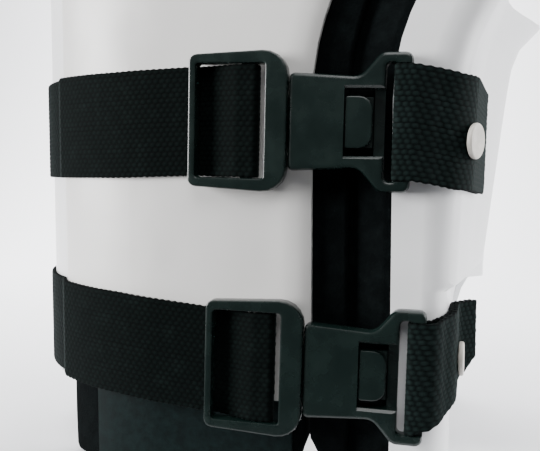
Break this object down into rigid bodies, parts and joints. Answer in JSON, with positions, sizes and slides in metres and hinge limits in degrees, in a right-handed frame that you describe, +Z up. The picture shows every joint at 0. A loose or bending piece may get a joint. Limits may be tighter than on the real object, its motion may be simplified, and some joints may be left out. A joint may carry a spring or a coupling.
{
  "type": "hip abduction brace",
  "caption": "Moulded white girdle brace section closed at the front by webbing straps with side-release style buckles, with a dark lining and a lower pad.",
  "frame": {"origin": "middle of the footprint, at the level of the lower rim", "axes": "+Z up, -Y towards the front with the buckles, +X towards the wearer's left, the flared side"},
  "size_m": [0.2212, 0.1582, 0.192],
  "materials": {
    "shell_plastic": "smooth moulded, soft sheen",
    "foam": "matt closed-cell foam with cloth face",
    "webbing": "woven",
    "buckle_plastic": "fine satin",
    "plate_plastic": "mottled satin",
    "rivet": "satin"
  },
  "bodies": {
    "root": {"upper_strap": "webbing", "upper_ring_buckle": "buckle_plastic", "upper_receiver": "buckle_plastic", "upper_chape": "webbing", "upper_chape_rivet": "rivet", "upper_strap_rivet": "rivet", "lower_strap": "webbing", "lower_ring_buckle": "buckle_plastic", "lower_receiver": "buckle_plastic", "lower_chape": "webbing", "lower_chape_rivet": "rivet", "lower_strap_rivet": "rivet", "main_shell": "shell_plastic", "front_panel": "shell_plastic", "panel_liner": "foam", "main_liner": "foam", "lower_plate": "plate_plastic", "lower_pad": "foam"}
  },
  "joints": []
}
